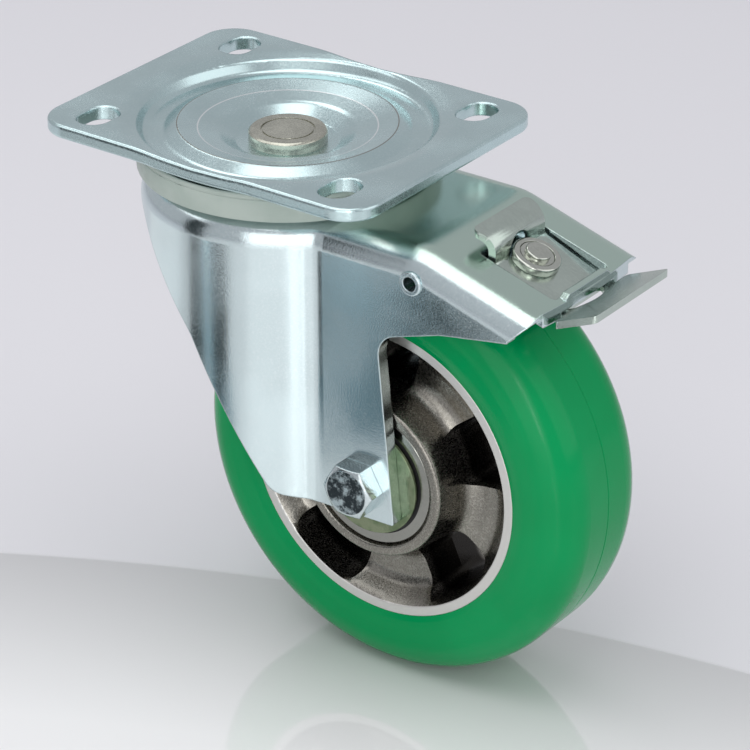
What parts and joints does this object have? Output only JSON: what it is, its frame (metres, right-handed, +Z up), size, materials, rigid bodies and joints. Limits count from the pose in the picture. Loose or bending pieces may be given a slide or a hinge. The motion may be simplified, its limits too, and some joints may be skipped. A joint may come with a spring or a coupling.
{
  "type": "swivel castor",
  "caption": "Heavy-duty swivel castor: slotted top plate, pressed fork with trailing foot brake, green tyre on a spoked aluminium wheel.",
  "frame": {"origin": "centre of the top plate's upper face, on the swivel axis", "axes": "+Z up along the swivel axis, out of the plate's upper face; +Y the direction of travel, along the plate's long side; X along the axle at rest"},
  "size_m": [0.11, 0.2135, 0.1935],
  "materials": {
    "zinc_steel": "bright zinc plate, satin, bluish",
    "nickel_steel": "satin plated spring steel",
    "pin_steel": "brushed",
    "seal": "semi-matt moulded",
    "tyre": "semi-gloss polyurethane",
    "aluminium": "cast and blasted, turned lip",
    "bearing_steel": "ground",
    "bearing_seal": "matt",
    "passivated": "yellow-green passivated zinc",
    "bolt_zinc": "bright zinc plate",
    "brake_block": "plain"
  },
  "bodies": {
    "plate": {"top_plate": "zinc_steel", "king_pin": "pin_steel", "king_pin_nut": "bolt_zinc", "locking_disc": "zinc_steel"},
    "upper_ball_ring": {"upper_balls": "bearing_steel"},
    "lower_ball_ring": {"lower_balls": "bearing_steel"},
    "fork": {"fork": "zinc_steel", "seal_ring": "seal", "pivot_rivets": "bolt_zinc", "axle_bolt": "bolt_zinc", "axle_nut": "bolt_zinc", "nut_washer": "bolt_zinc", "axle_tube": "bearing_steel", "spacer_left": "passivated", "spacer_right": "passivated", "bearing_inner_left": "bearing_steel", "bearing_inner_right": "bearing_steel"},
    "wheel": {"tyre": "tyre", "wheel_centre": "aluminium", "bearing_outer_left": "bearing_steel", "bearing_outer_right": "bearing_steel", "bearing_seal_left": "bearing_seal", "bearing_seal_right": "bearing_seal"},
    "ball_set_left": {"bearing_balls_left": "bearing_steel"},
    "ball_set_right": {"bearing_balls_right": "bearing_steel"},
    "brake_lever": {"brake_lever": "nickel_steel", "brake_yoke": "zinc_steel", "lock_strip": "nickel_steel", "brake_shoe": "brake_block", "lever_rivet": "nickel_steel", "lever_washer": "nickel_steel"}
  },
  "joints": [
    {"name": "swivel", "type": "hinge", "parent": "plate", "child": "fork", "pos_m": [0, 0, 0], "axis": [0, 0, 1], "continuous": true},
    {"name": "upper_balls_roll", "type": "hinge", "parent": "plate", "child": "upper_ball_ring", "pos_m": [0, 0, 0], "axis": [0, 0, 1], "continuous": true},
    {"name": "lower_balls_roll", "type": "hinge", "parent": "plate", "child": "lower_ball_ring", "pos_m": [0, 0, 0], "axis": [0, 0, 1], "continuous": true},
    {"name": "wheel_spin", "type": "hinge", "parent": "fork", "child": "wheel", "pos_m": [0, -0.0565, -0.1135], "axis": [1, 0, 0], "continuous": true},
    {"name": "balls_left_roll", "type": "hinge", "parent": "fork", "child": "ball_set_left", "pos_m": [0, -0.0565, -0.1135], "axis": [1, 0, 0], "continuous": true},
    {"name": "balls_right_roll", "type": "hinge", "parent": "fork", "child": "ball_set_right", "pos_m": [0, -0.0565, -0.1135], "axis": [1, 0, 0], "continuous": true},
    {"name": "brake_press", "type": "hinge", "parent": "fork", "child": "brake_lever", "pos_m": [0, -0.0786, -0.0295], "axis": [1, 0, 0], "range_deg": [0, 7]}
  ],
  "couplings": [
    {"joint": "upper_balls_roll", "follows": "swivel", "ratio": 0.5},
    {"joint": "lower_balls_roll", "follows": "swivel", "ratio": 0.5},
    {"joint": "balls_left_roll", "follows": "wheel_spin", "ratio": 0.6322},
    {"joint": "balls_right_roll", "follows": "wheel_spin", "ratio": 0.6322}
  ]
}
